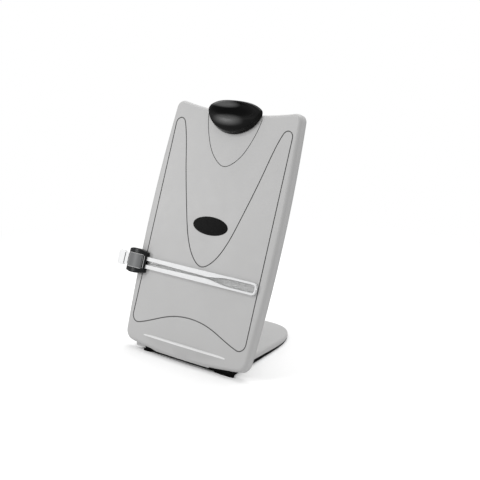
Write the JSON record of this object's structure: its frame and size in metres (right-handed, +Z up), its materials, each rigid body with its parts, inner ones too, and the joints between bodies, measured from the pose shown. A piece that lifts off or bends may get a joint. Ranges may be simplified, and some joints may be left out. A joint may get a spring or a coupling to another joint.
{
  "type": "copy holder",
  "caption": "Leaning desk copy holder with a folding rear foot, a spring clip at the top and a clear line guide that slides up and down on a side carriage.",
  "frame": {"origin": "centre of the whole part's footprint on the desk, the line guide pushed to the right as in use", "axes": "+Z up, -Y towards the reader, +X to the reader's right"},
  "size_m": [0.2696, 0.1986, 0.346],
  "materials": {
    "panel_grey": "finely textured warm light grey moulding",
    "cover_grey": "finely textured light grey moulding",
    "clip_black": "satin black moulding",
    "plate_black": "gloss black inlay",
    "bracket_black": "black painted sheet steel",
    "steel": "zinc plated steel",
    "nylon": "natural nylon",
    "carriage_black": "satin blue-black moulding",
    "thumb_grey": "smoky grey satin insert",
    "felt": "dark felt strip",
    "clear_bar": "clear acrylic",
    "base_black": "black moulded tray",
    "rubber_black": "black rubber"
  },
  "bodies": {
    "panel": {"front_panel": "panel_grey", "back_cover": "cover_grey", "name_plate": "plate_black", "cover_screw_1": "steel", "cover_screw_2": "steel", "cover_screw_3": "steel", "cover_screw_4": "steel", "cover_screw_5": "steel", "cover_screw_6": "steel", "clip_bracket": "bracket_black", "clip_pin": "steel", "clip_spring": "steel", "clip_screw_left": "steel", "clip_screw_right": "steel", "hinge_pin": "steel", "hinge_nut": "steel", "hinge_washer_left": "nylon", "hinge_washer_right": "nylon"},
    "clip": {"clip_lever": "clip_black", "clip_pad": "rubber_black"},
    "carriage": {"carriage_front": "carriage_black", "carriage_plate": "thumb_grey", "carriage_jaw": "carriage_black", "carriage_felt": "felt", "carriage_screw_upper": "steel", "carriage_screw_lower": "steel"},
    "bar": {"guide_bar": "clear_bar"},
    "foot": {"foot_shell": "panel_grey", "foot_base": "base_black", "foot_screw_left": "steel", "foot_screw_right": "steel", "foot_screw_rear": "steel", "foot_pad_left": "rubber_black", "foot_pad_right": "rubber_black", "lip_pad_left": "rubber_black", "lip_pad_right": "rubber_black"}
  },
  "joints": [
    {"name": "foot_fold", "type": "hinge", "parent": "panel", "child": "foot", "pos_m": [0.0178, -0.07213, 0.01393], "axis": [1, 0, 0], "range_deg": [0, 70]},
    {"name": "clip_press", "type": "hinge", "parent": "panel", "child": "clip", "pos_m": [0.0178, 0.02353, 0.33348], "axis": [-1, 0, 0], "range_deg": [0, 20], "stiffness_Nm_per_rad": 0.35, "springref_deg": -17.19, "deforming": ["clip_spring"]},
    {"name": "guide_slide", "type": "slide", "parent": "panel", "child": "carriage", "axis": [0, 0.342, 0.9397], "range_m": [-0.07, 0.182]},
    {"name": "bar_slide", "type": "slide", "parent": "carriage", "child": "bar", "axis": [1, 0, 0], "range_m": [-0.15, 0.009]}
  ]
}
